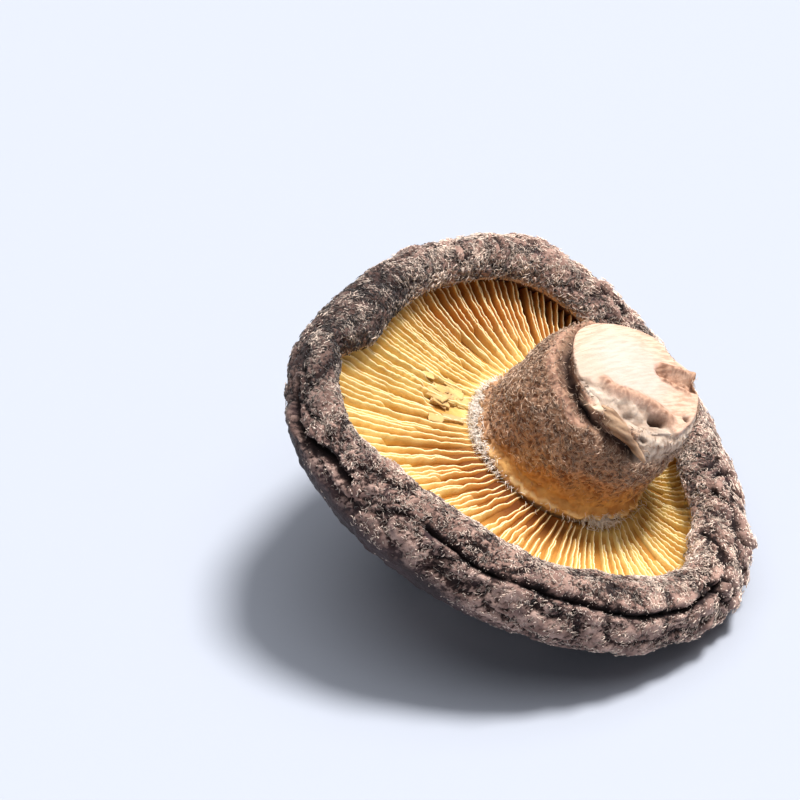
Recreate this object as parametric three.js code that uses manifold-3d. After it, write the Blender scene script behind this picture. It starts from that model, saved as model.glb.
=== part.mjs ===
// A dried shiitake mushroom that lies on the flank of its cap with the gills turned up.
// Millimetres. Each piece is modelled in the cap's own frame: the cap's axis is +Z, it points out of the
// gills, and z = 0 is the level of the rolled rim's inner edge. +X is the side that the cap leans to.
import * as THREE from "three";
import { ParametricGeometry } from "three/addons/geometries/ParametricGeometry.js";
import { ImprovedNoise } from "three/addons/math/ImprovedNoise.js";
import { mergeVertices } from "three/addons/utils/BufferGeometryUtils.js";
import Module from "manifold-3d";

const TURN = 2 * Math.PI;
const GAP = 0.35; // clear space between neighbouring pieces

// How the mushroom lies
const TILT = THREE.MathUtils.degToRad(27.25); // the axis leans this far from upright, towards +X
const REST_DEPTH = 14.8; // how far the surface it lies on is below the rim's centre, straight down
const REST_BLEND = 0.25; // height over which the flank bends into its resting flat

// Cap: radii from the opening's centre in 16 equal steps round, starting at +X and going towards +Y
const OPENING_RADII = [
  18.2, 15.8, 15.9, 16.8, 17.5, 18.9, 17.4, 16.4,
  16.1, 18.6, 19.6, 17.3, 16.0, 17.0, 17.6, 19.0,
];
const CAP_RADII = [
  24.8, 22.9, 21.3, 21.7, 23.8, 25.2, 23.0, 21.4,
  21.6, 22.9, 23.9, 23.3, 22.7, 23.0, 24.1, 24.9,
];
const CROWN_RADIUS = 23; // the crown is rounder than the rim, and drawn from this one radius
const CAP_HEIGHT = 15.2; // from the rim's inner edge down to the crown
const LIP_HEIGHT = 2.2; // how far the rolled rim stands above its inner edge
const FLOOR_AT_STEM = -4.9; // level of the flesh under the gills, beside the stem
const FLOOR_AT_RIM = -5.0; // and under the rim
const FLOOR_RISE = 0.8; // how much higher it is on the side that the cap lies on
const CAP_COLUMNS = 126;
const CAP_ROWS = 29;
const WRINKLE_DEPTH = 0.5; // of the folds on the rim
const FOLD_LENGTH = 3.4; // of a fold, along the rim
const FOLDS_ACROSS = 10; // between the gills and the crown
const CREASE_DEPTH = 0.9; // of the long crease along the rim's -Y side
const CREASE_PLACE = 0.53; // its share of the way from the gills to the crown
const CREASE_WIDTH = 0.026; // in the same share

// Stem: its centre line and radius, from the foot to the cut end
const STEM_LINE = [
  { x: 3.7, y: 3.2, z: -4.5, radius: 8.0 },
  { x: 3.8, y: 3.2, z: -2.6, radius: 8.3 },
  { x: 4.2, y: 3.3, z: 0.6, radius: 8.1 },
  { x: 4.7, y: 3.3, z: 3.8, radius: 8.1 },
  { x: 5.1, y: 3.4, z: 6.6, radius: 7.7 },
  { x: 5.3, y: 3.5, z: 8.8, radius: 6.9 },
  { x: 5.5, y: 3.5, z: 10.4, radius: 5.5 },
];
const STEM_LUMPS = 0.7; // height of the swellings on its side
const STEM_COLUMNS = 40;
const STEM_ROWS = 17;
const CUT_LEVEL = 9.2; // height of the trimmed end on the stem's centre line
const CUT_SLOPE = 0.08; // the cut falls away towards +X
const TEAR_START = 125; // degrees round the stem where the torn groove under the cut begins
const TEAR_END = 265;
const TEAR_STEP = 20;
const TEAR_LEVEL = 7.9;
const TEAR_RADIUS = 7.3; // of the groove's run round the stem
const TEAR_WIDTH = 1.2;
const TORN_SIDE = THREE.MathUtils.degToRad(-30); // where the skin beside the cut has come away
const TORN_DEPTH = 0.8;
const FLAP_ROOT = new THREE.Vector3(4.9, -3.3, 8.6); // the torn strip of skin, from its root to its tip
const FLAP_TIP = new THREE.Vector3(10.6, -3.0, 6.5);
const FLAP_RADIUS = 1.1;
const FLAP_GAP = new THREE.Vector3(-0.2, -0.3, -1); // from the strip to the gap below it
const FLAP_GAP_WIDTH = 1;
const POCKETS = [ // where flesh has torn out of the cut end
  { x: 9.6, y: 0.4, z: 9.4, length: 4.8, width: 2.2, turn: 0.5 },
  { x: 11.3, y: 5.4, z: 9.3, length: 3.2, width: 1.8, turn: -0.4 },
];

// Gills
const GILL_PAIRS = 48; // each pair is one blade that reaches the stem and a shorter one beside it
const GILL_THICKNESS = 0.62;
const GILL_PLATE = 0.8; // the blades' roots are joined by a plate this thick
const GILL_EDGE_AT_RIM = -1.2; // level of the blades' free edge under the rim
const GILL_EDGE_AT_STEM = -3.0; // and beside the stem
const GILL_SAG = 0.5; // how far the free edge hangs below a straight line between the two
const SHORT_GILL_END = 0.32; // share of the way from the stem to the rim where a short blade starts
const SHORT_GILL_SPREAD = 0.2; // how much that share differs from blade to blade

const wasm = await Module();
wasm.setup();
const noise = new ImprovedNoise();

// Smooth closed curve through equally spaced radii.
function radiusRing(radii) {
  const points = radii.map((radius) => new THREE.Vector3(radius, 0, 0));
  const curve = new THREE.CatmullRomCurve3(points, true, "catmullrom", 0.5);
  return (angle) => curve.getPoint(angle / TURN).x;
}

const openingRadius = radiusRing(OPENING_RADII);
const capRadius = radiusRing(CAP_RADII);
const stemEnd = STEM_LINE[STEM_LINE.length - 2];
const stemFoot = new THREE.Vector3(STEM_LINE[1].x, STEM_LINE[1].y, 0);
const collarRadius = STEM_LINE[1].radius + GAP;

// The angle of a share of the way round, the same number at both ends of the turn.
function angleOf(share) {
  return (share % 1) * TURN;
}

// A geometry with shared vertices and nothing but positions.
function welded(geometry) {
  geometry.deleteAttribute("normal");
  geometry.deleteAttribute("uv");
  return mergeVertices(geometry, 1e-4);
}

// A closed surface whose rows run from the top to the bottom.
function closed(surface, columns, rows) {
  const clockwise = (around, along, target) => surface(1 - around, along, target);
  return welded(new ParametricGeometry(clockwise, columns, rows));
}

function solidOf(geometry) {
  return new wasm.Manifold(
    new wasm.Mesh({
      numProp: 3,
      vertProperties: new Float32Array(geometry.getAttribute("position").array),
      triVerts: new Uint32Array(geometry.index.array),
    }),
  );
}

function geometryOf(solid) {
  const mesh = solid.getMesh();
  const geometry = new THREE.BufferGeometry();
  geometry.setAttribute("position", new THREE.BufferAttribute(mesh.vertProperties, 3));
  geometry.setIndex(new THREE.BufferAttribute(mesh.triVerts, 1));
  geometry.computeVertexNormals();
  return geometry;
}

// 1 on the side that the cap lies on, where its flank is straighter and its hollow shallower, and 0 on
// the others.
function leanAt(angle) {
  return Math.max(0, Math.cos(angle)) ** 1.5;
}

// Level of the flesh where it meets the wall behind the gills.
function rimFloor(angle) {
  return FLOOR_AT_RIM + FLOOR_RISE * leanAt(angle);
}

// ---------------------------------------------------------------- cap

// Outline of the cap cut at one angle, as (radius, height): up the wall behind the gills, round the
// rolled rim and down the flank to the crown.
function capSection(angle) {
  const inner = openingRadius(angle);
  const outer = capRadius(angle);
  const roll = outer - inner;
  const lean = leanAt(angle);
  return new THREE.SplineCurve([
    new THREE.Vector2(inner + 0.15 * roll, rimFloor(angle)),
    new THREE.Vector2(inner + 0.3 * roll, rimFloor(angle) + 0.8),
    new THREE.Vector2(inner + 0.3 * roll, -2.6),
    new THREE.Vector2(inner + 0.18 * roll, -1.2),
    new THREE.Vector2(inner, 0),
    new THREE.Vector2(inner + 0.13 * roll, 1.5),
    new THREE.Vector2(inner + 0.42 * roll, LIP_HEIGHT),
    new THREE.Vector2(inner + 0.75 * roll, 1.4),
    new THREE.Vector2(inner + 0.92 * roll, 0),
    new THREE.Vector2(outer, -2.4 + 0.7 * lean),
    new THREE.Vector2(outer - 1.6, -4.9 + 1.1 * lean),
    new THREE.Vector2(0.77 * outer, -8.1 + 1.7 * lean),
    new THREE.Vector2(0.265 * (outer + CROWN_RADIUS), 3.4 - CAP_HEIGHT + 1.1 * lean),
    new THREE.Vector2(0.28 * CROWN_RADIUS, 0.9 - CAP_HEIGHT - 0.4 * lean),
    new THREE.Vector2(0.12 * CROWN_RADIUS, 0.15 - CAP_HEIGHT - 0.3 * lean),
    new THREE.Vector2(0, -CAP_HEIGHT),
  ]);
}

// How far the dried skin stands out of the smooth outline: rounded folds that run along the rim with
// creases between them, and one long crease along the rolled rim's outer shoulder.
function wrinkle(angle, share) {
  const along = capRadius(angle) / FOLD_LENGTH;
  const folds = Math.abs(noise.noise(along * Math.cos(angle), along * Math.sin(angle), share * FOLDS_ACROSS));
  const pastGills = THREE.MathUtils.smoothstep(share, 0.25, 0.36);
  const onRim = pastGills * (1 - THREE.MathUtils.smoothstep(share, 0.62, 0.86));
  const creaseAt = CREASE_PLACE + 0.02 * Math.sin(3 * angle);
  const inCrease = Math.exp(-(((share - creaseAt) / CREASE_WIDTH) ** 2));
  const onCreasedSide = THREE.MathUtils.smoothstep(-Math.sin(angle - 0.3), -0.2, 0.5);
  return onRim * (WRINKLE_DEPTH * (2.4 * folds - 0.5) - CREASE_DEPTH * inCrease * onCreasedSide);
}

// Height of a point above the surface the mushroom lies on.
function heightAbove(point) {
  return point.z * Math.cos(TILT) - point.x * Math.sin(TILT) + REST_DEPTH;
}

// Moves a point that would be under that surface straight up onto it, with a soft bend at its edge.
function settle(point) {
  const height = heightAbove(point);
  if (height >= REST_BLEND) return;
  const level = height <= -REST_BLEND ? 0 : (height + REST_BLEND) ** 2 / (4 * REST_BLEND);
  point.x -= (level - height) * Math.sin(TILT);
  point.z += (level - height) * Math.cos(TILT);
}

function capSurface(around, along, target) {
  const angle = angleOf(around);
  const row = Math.round(along * CAP_ROWS);
  if (row === 0) {
    target.set(stemFoot.x, stemFoot.y, FLOOR_AT_STEM);
    return;
  }
  if (row === 1) {
    target.set(
      stemFoot.x + collarRadius * Math.cos(angle),
      stemFoot.y + collarRadius * Math.sin(angle),
      FLOOR_AT_STEM,
    );
    return;
  }
  const share = (row - 2) / (CAP_ROWS - 2);
  const section = capSection(angle);
  const point = section.getPoint(share);
  const tangent = section.getTangent(share);
  const out = wrinkle(angle, share);
  const radius = point.x - tangent.y * out;
  const height = point.y + tangent.x * out;
  target.set(radius * Math.cos(angle), radius * Math.sin(angle), height);
  settle(target);
}

// ---------------------------------------------------------------- gills

// A point between the stem's collar (0) and the wall behind the rim (1).
function gillPlan(angle, share, reach) {
  const x = stemFoot.x + collarRadius * Math.cos(angle);
  const y = stemFoot.y + collarRadius * Math.sin(angle);
  const rim = openingRadius(angle) + reach;
  return new THREE.Vector2(
    THREE.MathUtils.lerp(x, rim * Math.cos(angle), share),
    THREE.MathUtils.lerp(y, rim * Math.sin(angle), share),
  );
}

function floorLevel(angle, share) {
  return THREE.MathUtils.lerp(FLOOR_AT_STEM, rimFloor(angle), share);
}

// Level of a blade's free edge: a low arch between the stem and the rim.
function edgeLevel(share) {
  const straight = THREE.MathUtils.lerp(GILL_EDGE_AT_STEM, GILL_EDGE_AT_RIM, share);
  return straight - GILL_SAG * Math.sin(Math.PI * share);
}

// One row of a column of gill points: its share of the way out, its reach past the opening, and whether
// it lies on the plate's underside, on the blades or on the outer end between the two.
const GILL_ROWS = [
  ...[0, 0.2, 0.4, 0.62, 0.84, 1].map((share) => ({ share, reach: -0.1, part: "top" })),
  { share: 1, reach: 0.4, part: "end" },
  { share: 1, reach: 0.2, part: "underside" },
  { share: 0, reach: 0.2, part: "underside" },
];
const GILL_SIDES = [-1.25, -1, 1, 1.25]; // of half the thickness: foot, edge, edge, foot of a blade

function gillSurface(around, along, target) {
  const columns = GILL_PAIRS * 2 * GILL_SIDES.length;
  const column = Math.round(around * columns) % columns;
  const blade = Math.floor(column / GILL_SIDES.length);
  const side = GILL_SIDES[column % GILL_SIDES.length];
  const row = GILL_ROWS[Math.round(along * GILL_ROWS.length) % GILL_ROWS.length];
  const middle = (blade / (GILL_PAIRS * 2)) * TURN;
  const radius = THREE.MathUtils.lerp(collarRadius, openingRadius(middle), row.share);
  const angle = middle + (side * GILL_THICKNESS) / 2 / radius;
  const place = gillPlan(angle, row.share, row.reach);
  const underside = floorLevel(angle, row.share) + GAP;
  const plate = underside + GILL_PLATE;
  const isShort = blade % 2 === 1;
  const start = SHORT_GILL_END + SHORT_GILL_SPREAD * noise.noise(1.7 * blade, 0.5, 0.5);
  const grown = isShort ? THREE.MathUtils.smoothstep(row.share, start, start + 0.35) : 1;
  const crest = THREE.MathUtils.lerp(plate + 0.05, edgeLevel(row.share), grown);
  const top = Math.abs(side) === 1 ? crest : plate;
  const level = { top, end: (top + underside) / 2, underside }[row.part];
  target.set(place.x, place.y, level);
}

// ---------------------------------------------------------------- stem

const stemCurve = new THREE.CatmullRomCurve3(STEM_LINE.map((at) => new THREE.Vector3(at.x, at.y, at.z)));
const stemRadii = new THREE.SplineCurve(STEM_LINE.map((at) => new THREE.Vector2(at.radius, 0)));

function stemSurface(around, along, target) {
  const angle = angleOf(around);
  const row = Math.round(along * STEM_ROWS);
  const share = THREE.MathUtils.clamp(1 - (row - 1) / (STEM_ROWS - 2), 0, 1);
  const centre = stemCurve.getPoint(share);
  const onAxis = row === 0 || row === STEM_ROWS;
  const lumps = noise.noise(2.2 * Math.cos(angle), 2.2 * Math.sin(angle), centre.z * 0.22 + 3.1);
  const grown = THREE.MathUtils.smoothstep(share, 0.15, 0.4);
  const torn = THREE.MathUtils.smoothstep(centre.z, 5.8, 7.4) * Math.max(0, Math.cos(angle - TORN_SIDE)) ** 4;
  const radius = onAxis ? 0 : stemRadii.getPoint(share).x + STEM_LUMPS * lumps * grown - TORN_DEPTH * torn;
  target.set(centre.x + radius * Math.cos(angle), centre.y + radius * Math.sin(angle), centre.z);
  target.z = Math.min(target.z, CUT_LEVEL - CUT_SLOPE * (target.x - stemEnd.x));
}

// A closed tube along a smooth line through the given points.
function tube(points, width, steps) {
  const outline = new THREE.Shape().absarc(0, 0, width / 2, 0, TURN);
  const path = new THREE.CatmullRomCurve3(points);
  return welded(new THREE.ExtrudeGeometry(outline, { steps, extrudePath: path, curveSegments: 4 }));
}

// A pointed strip with its thick end at one point and its tip at another.
function sliver(root, tip, radius) {
  const way = tip.clone().sub(root);
  const cone = new THREE.ConeGeometry(radius, way.length(), 6);
  cone.translate(0, way.length() / 2, 0);
  cone.applyQuaternion(new THREE.Quaternion().setFromUnitVectors(THREE.Object3D.DEFAULT_UP, way.normalize()));
  cone.translate(root.x, root.y, root.z);
  return welded(cone);
}

function pocket({ x, y, z, length, width, turn }) {
  const hollow = new THREE.SphereGeometry(0.5, 12, 8);
  hollow.scale(length, width, width);
  hollow.rotateZ(turn);
  hollow.translate(x, y, z);
  return welded(hollow);
}

// The groove where the skin has torn away under the edge of the cut.
function tear() {
  const line = [];
  for (let turn = TEAR_START; turn <= TEAR_END; turn += TEAR_STEP) {
    const angle = THREE.MathUtils.degToRad(turn);
    const x = stemEnd.x + TEAR_RADIUS * Math.cos(angle);
    const y = stemEnd.y + TEAR_RADIUS * Math.sin(angle);
    line.push(new THREE.Vector3(x, y, TEAR_LEVEL));
  }
  return tube(line, TEAR_WIDTH, 24);
}

// The column with its trimmed end: the groove, a strip of skin that hangs over a gap, and the pockets.
function stemSolid() {
  const flapGap = [FLAP_ROOT, FLAP_TIP].map((at) => at.clone().add(FLAP_GAP));
  const cuts = [tear(), tube(flapGap, FLAP_GAP_WIDTH, 6), ...POCKETS.map(pocket)];
  const column = solidOf(closed(stemSurface, STEM_COLUMNS, STEM_ROWS));
  const torn = cuts.reduce((solid, cut) => solid.subtract(solidOf(cut)), column);
  return torn.add(solidOf(sliver(FLAP_ROOT, FLAP_TIP, FLAP_RADIUS)));
}

// ---------------------------------------------------------------- the mushroom

function piece(name, geometry, color, roughness) {
  const material = new THREE.MeshStandardMaterial({ color, roughness, metalness: 0 });
  const mesh = new THREE.Mesh(geometry, material);
  mesh.name = name;
  return mesh;
}

const mushroom = new THREE.Group();
mushroom.add(piece("cap", closed(capSurface, CAP_COLUMNS, CAP_ROWS), 0x6b5650, 0.9));
mushroom.add(
  piece("gills", closed(gillSurface, GILL_PAIRS * 2 * GILL_SIDES.length, GILL_ROWS.length), 0xd9a85a, 0.75),
);
mushroom.add(piece("stem", geometryOf(stemSolid()), 0x9a7252, 0.9));

// It lies with its lowest face on z = 0, centred on the origin.
mushroom.rotation.y = TILT;
mushroom.updateMatrixWorld(true);
const box = new THREE.Box3().setFromObject(mushroom, true);
const middle = box.getCenter(new THREE.Vector3());
mushroom.position.set(-middle.x, -middle.y, -box.min.z);

export default mushroom;
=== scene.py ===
# %% [markdown]
# # A dried shiitake mushroom
# The mushroom lies on the flank of its cap with its gills turned up. It has three pieces of its own: the
# cap with its rolled, felted rim, the gills under it, and the stem with its trimmed end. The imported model
# holds all three as plain solids. Here each is modelled again as a finer piece in the same place, and gets
# the things a solid is too coarse for: felt, thin waved blades, torn flesh and colour.
#
# Every piece is drawn in the cap's own frame, in millimetres, where the cap's axis is +Z and points out of
# the gills, and z = 0 is the level of the rim's inner edge. One last move lays it down in its place.

import math

import bpy
import numpy as np
from mathutils import Matrix, Vector, noise


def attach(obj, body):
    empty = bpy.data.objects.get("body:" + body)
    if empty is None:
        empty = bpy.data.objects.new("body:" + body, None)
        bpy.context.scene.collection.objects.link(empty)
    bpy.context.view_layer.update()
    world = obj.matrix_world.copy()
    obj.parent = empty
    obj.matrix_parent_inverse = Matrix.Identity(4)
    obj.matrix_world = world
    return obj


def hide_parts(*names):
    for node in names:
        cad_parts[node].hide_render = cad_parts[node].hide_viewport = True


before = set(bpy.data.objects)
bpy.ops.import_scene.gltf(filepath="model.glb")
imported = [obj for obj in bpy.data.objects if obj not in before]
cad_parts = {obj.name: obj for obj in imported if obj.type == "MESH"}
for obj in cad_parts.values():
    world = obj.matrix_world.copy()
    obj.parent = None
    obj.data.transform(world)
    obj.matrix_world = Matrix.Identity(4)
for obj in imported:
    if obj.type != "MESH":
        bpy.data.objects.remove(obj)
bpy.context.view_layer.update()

# %% How the mushroom lies
MM = 0.001
TURN = 2 * math.pi
TILT = math.radians(27.25)  # the cap's axis leans this far from upright, towards +X
RIM_CENTRE = Vector((-0.49, -0.66, 14.8))  # where the middle of the opening is, above the floor
REST_BLEND = 0.25  # height over which the flank bends into its resting flat


def height_above_floor(places):
    return places[:, 2] * math.cos(TILT) - places[:, 0] * math.sin(TILT) + RIM_CENTRE.z


def settle(places):
    """Lifts what would be under the floor straight up onto it, with a soft bend at the flat's edge."""
    height = height_above_floor(places)
    bent = np.clip(height + REST_BLEND, 0, 2 * REST_BLEND) ** 2 / (4 * REST_BLEND)
    lift = np.where(height < REST_BLEND, bent - height, 0)
    return places + lift[:, None] * np.array([-math.sin(TILT), 0, math.cos(TILT)])


# %% [markdown]
# ## Tools for shaping
# The opening and the flank are not round, so a plain turned body is only the start. The helpers here read
# all the vertices of a piece as one array, and put them back. That is what a sculpting brush does too, but
# the strokes are written down. A noise gives the swellings and folds that nobody would place by hand.


# %% Read and move vertices
def places_of(piece):
    flat = np.empty(len(piece.data.vertices) * 3)
    piece.data.vertices.foreach_get("co", flat)
    return flat.reshape(-1, 3)


def normals_of(piece):
    flat = np.empty(len(piece.data.vertices) * 3)
    piece.data.vertex_normals.foreach_get("vector", flat)
    return flat.reshape(-1, 3)


def move_to(piece, places):
    piece.data.vertices.foreach_set("co", np.asarray(places, dtype=float).ravel())
    piece.data.update()


def read_mark(piece, name):
    values = np.empty(len(piece.data.vertices))
    piece.data.attributes[name].data.foreach_get("value", values)
    return values


def write_marks(piece, **marks):
    """Keeps numbers for each vertex, or one for all of them, which the finish reads by their names."""
    for name, values in marks.items():
        values = np.broadcast_to(np.asarray(values, dtype=float), len(piece.data.vertices))
        mark = piece.data.attributes.get(name) or piece.data.attributes.new(name, "FLOAT", "POINT")
        mark.data.foreach_set("value", np.ascontiguousarray(values))


# %% Smooth curves and noise
def smoothstep(value, low, high):
    share = np.clip((value - low) / (high - low), 0, 1)
    return share * share * (3 - 2 * share)


def lerp(one, other, share):
    return one + (other - one) * share


def hump(away, width):
    """1 where away is 0, and fading to nothing on both sides."""
    return np.exp(-((away / width) ** 2))


def facing(angle, degrees, low, high):
    """1 on the side that lies the given degrees round and 0 elsewhere, fading between two cosines."""
    return smoothstep(np.cos(angle - math.radians(degrees)), low, high)


def degrees_from(angle, degrees):
    """How far round from one direction the angles are, from -180 to 180."""
    return np.degrees(np.angle(np.exp(1j * (angle - math.radians(degrees)))))


def on_circle(centre, radius, angle):
    return centre.x + radius * np.cos(angle), centre.y + radius * np.sin(angle)


def from_xyz(x, y, z):
    """Places from their coordinates. One that is the same for all of them may be a single number."""
    return np.stack(np.broadcast_arrays(x, y, z), axis=1)


def through(before, here, there, after, share):
    """A smooth curve from here to there, with its slopes from the points on either side."""
    leave = (there - before) / 2
    arrive = (after - here) / 2
    return (
        (2 * here - 2 * there + leave + arrive) * share**3
        + (3 * there - 3 * here - 2 * leave - arrive) * share**2
        + leave * share
        + here
    )


def ring_radius(radii):
    """A smooth closed curve through radii at equal steps round, starting at +X."""
    radii = np.array(radii)

    def radius_at(angle):
        place = np.mod(angle, TURN) / TURN * len(radii)
        first = np.floor(place).astype(int)
        around = [radii[(first + step) % len(radii)] for step in (-1, 0, 1, 2)]
        return through(*around, place - first)

    return radius_at


def along_stations(stations, share):
    """The smooth open curve through stations, each of them one value or a value for every vertex."""
    share = np.atleast_1d(share)
    table = np.stack([np.broadcast_to(np.asarray(at, dtype=float), share.shape) for at in stations])
    last = len(table) - 1
    place = np.clip(share, 0, 1) * last
    first = np.minimum(np.floor(place).astype(int), last - 1)
    column = np.arange(len(share))
    around = [table[np.clip(first + step, 0, last), column] for step in (-1, 0, 1, 2)]
    return through(*around, place - first)


def bumps(places, size, seed=0, octaves=1):
    """Smooth noise from about -1 to 1 whose swellings are of the given size, or one size for each axis."""
    scaled = np.asarray(places) / np.asarray(size) + np.array([3.1, 5.7, 9.3]) * (seed + 1)
    return np.array([noise.fractal(at, 1.0, 2.0, octaves) for at in scaled.tolist()])


def bumps3(places, size, seeds, octaves=1):
    """Three noises side by side, to move each place a little aside."""
    return np.stack([bumps(places, size, seed, octaves) for seed in seeds], axis=1)


def gathered(places, size, seed):
    """Rounded folds from 0 to about 1, with sharp creases between them."""
    return np.sqrt(np.abs(bumps(places, size, seed)))


def smooth_line(points, steps=6):
    points = np.array(points, dtype=float)
    share = np.linspace(0, 1, (len(points) - 1) * steps + 1)
    return np.stack([along_stations(points[:, axis], share) for axis in range(3)], axis=1)


def distance_to(places, points):
    """How far each place is from the smooth line through a few points, each moved to the nearest place."""
    nearest_places = [places[np.linalg.norm(places - np.array(point), axis=1).argmin()] for point in points]
    line = smooth_line(nearest_places)
    nearest = np.full(len(places), np.inf)
    for start, end in zip(line, line[1:]):
        way = end - start
        share = np.clip((places - start) @ way / max(way @ way, 1e-9), 0, 1)
        gap = np.linalg.norm(places - start - share[:, None] * way, axis=1)
        nearest = np.minimum(nearest, gap)
    return nearest


# %% Start, thicken, copy and join pieces
def only(piece):
    bpy.ops.object.select_all(action="DESELECT")
    piece.select_set(True)
    bpy.context.view_layer.objects.active = piece


def mode(name):
    bpy.ops.object.mode_set(mode=name)


def start_piece(name, add, **settings):
    """Adds one of Blender's simple meshes and names it."""
    bpy.ops.object.select_all(action="DESELECT")
    add(**settings)
    bpy.context.object.name = name
    return bpy.context.object


def thicken(sheet, thickness, offset):
    """Solidify with its offset: 0 grows both ways and -1 only behind the sheet."""
    only(sheet)
    wall = sheet.modifiers.new("thickness", "SOLIDIFY")
    wall.thickness = thickness
    wall.offset = offset
    bpy.ops.object.modifier_apply(modifier=wall.name)


def copy_of(model):
    piece = model.copy()
    piece.data = model.data.copy()
    bpy.context.collection.objects.link(piece)
    return piece


def join(name, base, others):
    """Makes one piece of several. A mark that one of them lacks is 0 there."""
    only(base)
    for piece in others:
        piece.select_set(True)
    bpy.ops.object.join()
    base.name = name
    return base


# %% Turn a body from half of its section
def turned(name, outline, rows, columns):
    """Draws half a section edge by edge, marks each row, and spins it round Z into one closed body."""
    outline = [Vector((radius, 0, height)) for radius, height in outline]
    piece = start_piece(name, bpy.ops.mesh.primitive_plane_add, size=1, location=(0, 0, 0))
    mode("EDIT")
    bpy.ops.mesh.merge(type="CENTER")
    bpy.ops.transform.translate(value=outline[0])
    for start, end in zip(outline, outline[1:]):
        bpy.ops.mesh.extrude_region_move(TRANSFORM_OT_translate={"value": end - start})
    mode("OBJECT")
    write_marks(piece, row=rows)
    mode("EDIT")
    bpy.ops.mesh.select_all(action="SELECT")
    bpy.ops.mesh.spin(steps=columns, angle=TURN, center=(0, 0, 0), axis=(0, 0, 1))
    bpy.ops.mesh.select_all(action="SELECT")
    bpy.ops.mesh.remove_doubles(threshold=0.0001)
    bpy.ops.mesh.normals_make_consistent(inside=False)
    mode("OBJECT")
    print(name, "turned:", len(piece.data.vertices), "vertices,", len(piece.data.polygons), "faces")
    return piece


def lay_down(piece):
    """Moves a finished piece from the cap's own frame to its place in the model, in metres."""
    only(piece)
    piece.location = RIM_CENTRE * MM
    piece.rotation_euler = (0, TILT, 0)
    piece.scale = (MM, MM, MM)
    bpy.ops.object.transform_apply(location=True, rotation=True, scale=True)
    bpy.ops.object.shade_smooth()
    piece.data.calc_loop_triangles()
    print(piece.name, "done:", len(piece.data.loop_triangles), "triangles")


# %% [markdown]
# ## The cap
# A shiitake's cap is a thick dome whose edge rolls inwards as it dries. The rolled rim is covered with a
# grey-brown felt and falls into folds, the flank and crown are dark smooth skin with pale cracks. It could
# be pushed out of a sphere, but the rim turns under itself, so its section is drawn first: up the wall
# behind the gills, round the roll and down the flank. Spun round the axis it is a closed body, and then
# every row is pushed out to the true, uneven opening and edge.

# %% The cap's measures
OPENING_RADII = [
    18.2, 15.8, 15.9, 16.8, 17.5, 18.9, 17.4, 16.4,
    16.1, 18.6, 19.6, 17.3, 16.0, 17.0, 17.6, 19.0,
]
CAP_RADII = [
    24.8, 22.9, 21.3, 21.7, 23.8, 25.2, 23.0, 21.4,
    21.6, 22.9, 23.9, 23.3, 22.7, 23.0, 24.1, 24.9,
]
CROWN_RADIUS = 23
CAP_HEIGHT = 15.2  # from the rim's inner edge down to the crown
LIP_HEIGHT = 2.2  # how far the roll stands above its inner edge
FLOOR_AT_STEM = -4.9  # level of the flesh under the gills, beside the stem
FLOOR_AT_RIM = -5.0
FLOOR_RISE = 0.8  # how much higher it is on the side that the cap lies on
GAP = 0.35  # clear space between neighbouring pieces
COLLAR = Vector((3.8, 3.2, 0))  # the stem's foot is round about this point
COLLAR_RADIUS = 8.3 + GAP

LOBES = [  # degrees round, half width in degrees, and how far the rim's edge is pushed out or in
    (190, 7.5, -0.85),
    (202, 2.6, 0.7),
    (358, 4.0, -0.35),
    (346, 4.5, 0.4),
    (312, 9.0, -0.3),
    (238, 24, 0.55),
]

smooth_opening = ring_radius(OPENING_RADII)
cap_radius = ring_radius(CAP_RADII)


def opening_radius(angle):
    """The rim's inner edge, with the lobe that hangs over the gills and the notch beside it."""
    radius = smooth_opening(angle)
    for degrees, width, push in LOBES:
        radius = radius + push * hump(degrees_from(angle, degrees), width)
    return radius


def lean_at(angle):
    return np.maximum(0, np.cos(angle)) ** 1.5


def rim_floor(angle):
    return FLOOR_AT_RIM + FLOOR_RISE * lean_at(angle)


def cap_section(angle, share):
    """Radius and height of the smooth cap, from the gills (0) round the rim to the crown (1)."""
    inner = opening_radius(angle)
    outer = cap_radius(angle)
    roll = outer - inner
    lean = lean_at(angle)
    stations = [
        (inner + 0.15 * roll, rim_floor(angle)),
        (inner + 0.3 * roll, rim_floor(angle) + 0.8),
        (inner + 0.3 * roll, -2.6),
        (inner + 0.18 * roll, -1.2),
        (inner, 0),
        (inner + 0.13 * roll, 1.5),
        (inner + 0.42 * roll, LIP_HEIGHT),
        (inner + 0.75 * roll, 1.4),
        (inner + 0.92 * roll, 0),
        (outer, -2.4 + 0.7 * lean),
        (outer - 1.6, -4.9 + 1.1 * lean),
        (0.77 * outer, -8.1 + 1.7 * lean),
        (0.265 * (outer + CROWN_RADIUS), 3.4 - CAP_HEIGHT + 1.1 * lean),
        (0.28 * CROWN_RADIUS, 0.9 - CAP_HEIGHT - 0.4 * lean),
        (0.12 * CROWN_RADIUS, 0.15 - CAP_HEIGHT - 0.3 * lean),
        (0, -CAP_HEIGHT),
    ]
    radius = along_stations([at[0] for at in stations], share)
    height = along_stations([at[1] for at in stations], share)
    return radius, height


# %% Turn the cap and push it out to its true edge
CAP_COLUMNS = 756
SHARE_AT_EDGE = 4 / 15  # of the rim's inner edge, in the section's stations
SHARE_AT_SKIN = 10 / 15  # where the felted rim ends and the skin begins
CENTRE_ROW = -2  # rows below 0 are the flesh under the gills
COLLAR_ROW = -1

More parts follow.
